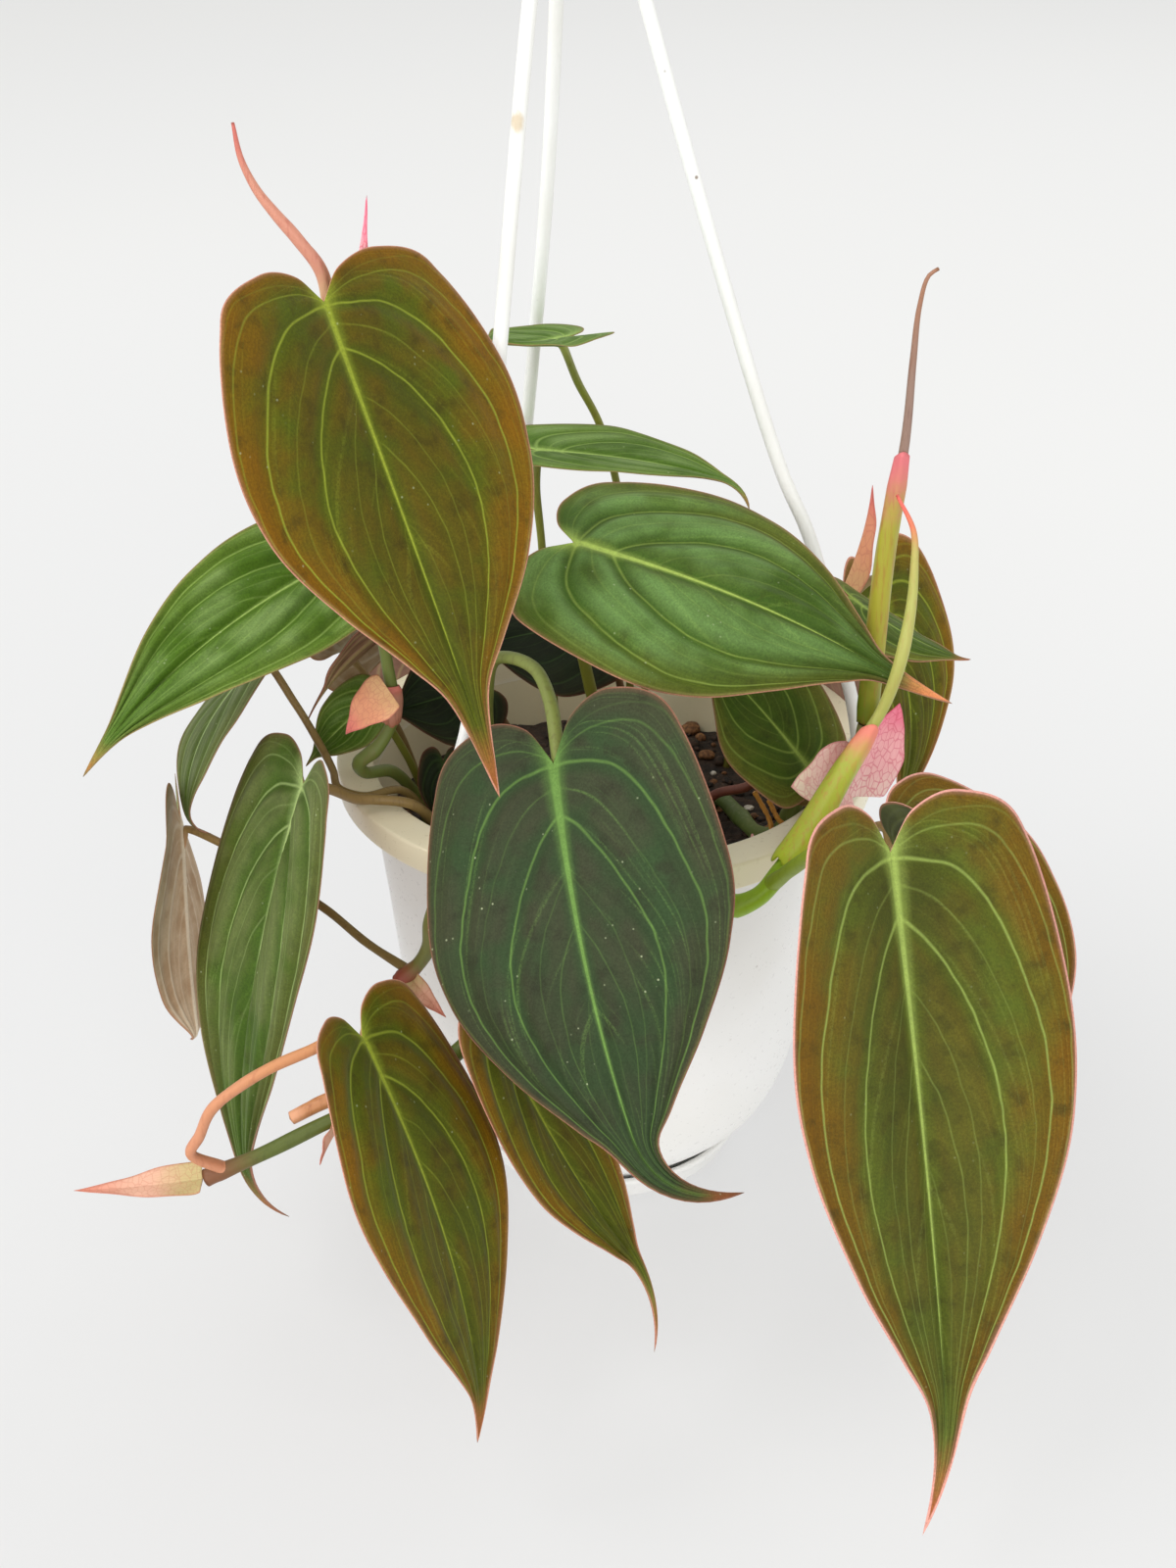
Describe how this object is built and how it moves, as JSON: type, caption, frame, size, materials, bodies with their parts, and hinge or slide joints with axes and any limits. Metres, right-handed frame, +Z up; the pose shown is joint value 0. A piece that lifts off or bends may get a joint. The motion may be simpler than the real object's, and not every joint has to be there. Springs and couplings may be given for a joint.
{
  "type": "potted velvet-leaf philodendron",
  "caption": "Potted trailing philodendron with velvety heart-shaped leaves in a flanged white hanging pot with saucer, three hanger rods and a hook.",
  "frame": {"origin": "on the pot's axis, on the underside of the saucer", "axes": "+Z up along the pot's axis, the pictured side faces -Y, +X to the right in the picture"},
  "size_m": [0.2301, 0.2747, 0.408],
  "materials": {
    "white_pot_plastic": "smooth moulded white, soft gloss",
    "white_hanger_plastic": "moulded white rods with fine scuffs",
    "potting_soil": "rough, crumbly, dark",
    "velvet_leaf": "velvety, bronze to deep green",
    "green_stem": "smooth, fresh green",
    "pink_bract": "thin, satin, salmon pink",
    "air_root": "dry, orange-tan"
  },
  "bodies": {
    "root": {"pot_body": "white_pot_plastic", "saucer": "white_pot_plastic", "soil": "potting_soil", "rod_right": "white_hanger_plastic", "rod_back_left": "white_hanger_plastic", "rod_front_left": "white_hanger_plastic", "hanger_hook": "white_hanger_plastic", "stem_left_shoot": "green_stem", "stem_front_left": "green_stem", "stem_trailing": "green_stem", "stem_right_front": "green_stem", "stem_right_rear": "green_stem", "stem_right_back": "green_stem", "leaf_upper_left": "velvet_leaf", "leaf_front_centre": "velvet_leaf", "leaf_front_right": "velvet_leaf", "leaf_lower_left": "velvet_leaf", "leaf_left_pleated": "velvet_leaf", "leaf_right_high": "velvet_leaf", "leaf_left_fresh": "velvet_leaf", "leaf_low_centre": "velvet_leaf", "leaf_back_high": "velvet_leaf", "leaf_topmost": "velvet_leaf", "leaf_front_right_under": "velvet_leaf", "leaf_right_inner": "velvet_leaf", "leaf_right_rear": "velvet_leaf", "leaf_left_underside": "velvet_leaf", "leaf_left_folded": "velvet_leaf", "leaf_right_small": "velvet_leaf", "leaf_inner_dark": "velvet_leaf", "leaf_inner_red_edge": "velvet_leaf", "leaf_inner_low": "velvet_leaf", "leaf_pale_underside": "velvet_leaf", "leaf_narrow_dark": "velvet_leaf", "leaf_inner_light": "velvet_leaf", "leaf_back_right": "velvet_leaf", "leaf_back_centre": "velvet_leaf", "leaf_back_left": "velvet_leaf", "bract_trailing_tip": "pink_bract", "bract_trailing_low": "pink_bract", "bract_front_left": "pink_bract", "bract_left_flap": "pink_bract", "bract_left_top": "pink_bract", "bract_right_left_wing": "pink_bract", "bract_right_right_wing": "pink_bract", "bract_right_back": "pink_bract", "bract_right_low": "pink_bract", "sheath_right_front": "green_stem", "sheath_right_rear": "green_stem", "sheath_left": "pink_bract", "shoot_right_slim": "pink_bract", "new_leaf_right": "pink_bract", "new_leaf_left": "pink_bract", "petiole_stub": "pink_bract", "air_root_low": "air_root", "air_root_high": "air_root"}
  },
  "joints": []
}
